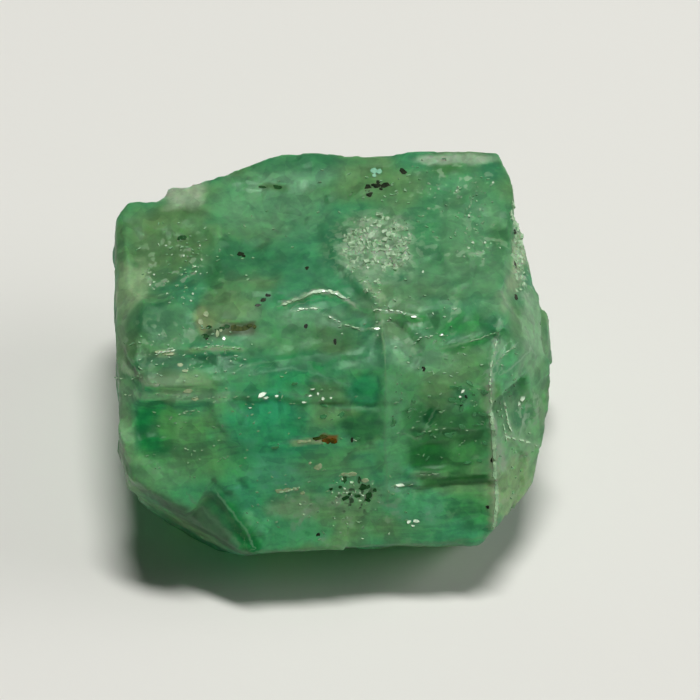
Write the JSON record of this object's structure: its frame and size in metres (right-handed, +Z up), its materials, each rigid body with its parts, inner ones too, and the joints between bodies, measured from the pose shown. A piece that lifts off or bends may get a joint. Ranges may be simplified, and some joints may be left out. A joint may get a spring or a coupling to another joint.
{
  "type": "raw emerald crystal",
  "caption": "Rough blocky emerald crystal, translucent green, with a sloped front, stepped ledges and chipped corners; it lies on a flat underside.",
  "frame": {"origin": "on the surface that the stone rests on, under the middle of its bounding box", "axes": "+X along the widest side, to the right as seen from the front; -Y towards the front, the side with the long slope; +Z up"},
  "size_m": [0.0146, 0.0134, 0.0083],
  "materials": {
    "emerald": "translucent green beryl, waxy to glassy broken faces with frosty patches, pale veils, green banding and dark mica flecks"
  },
  "bodies": {
    "root": {"emerald_crystal": "emerald"}
  },
  "joints": []
}
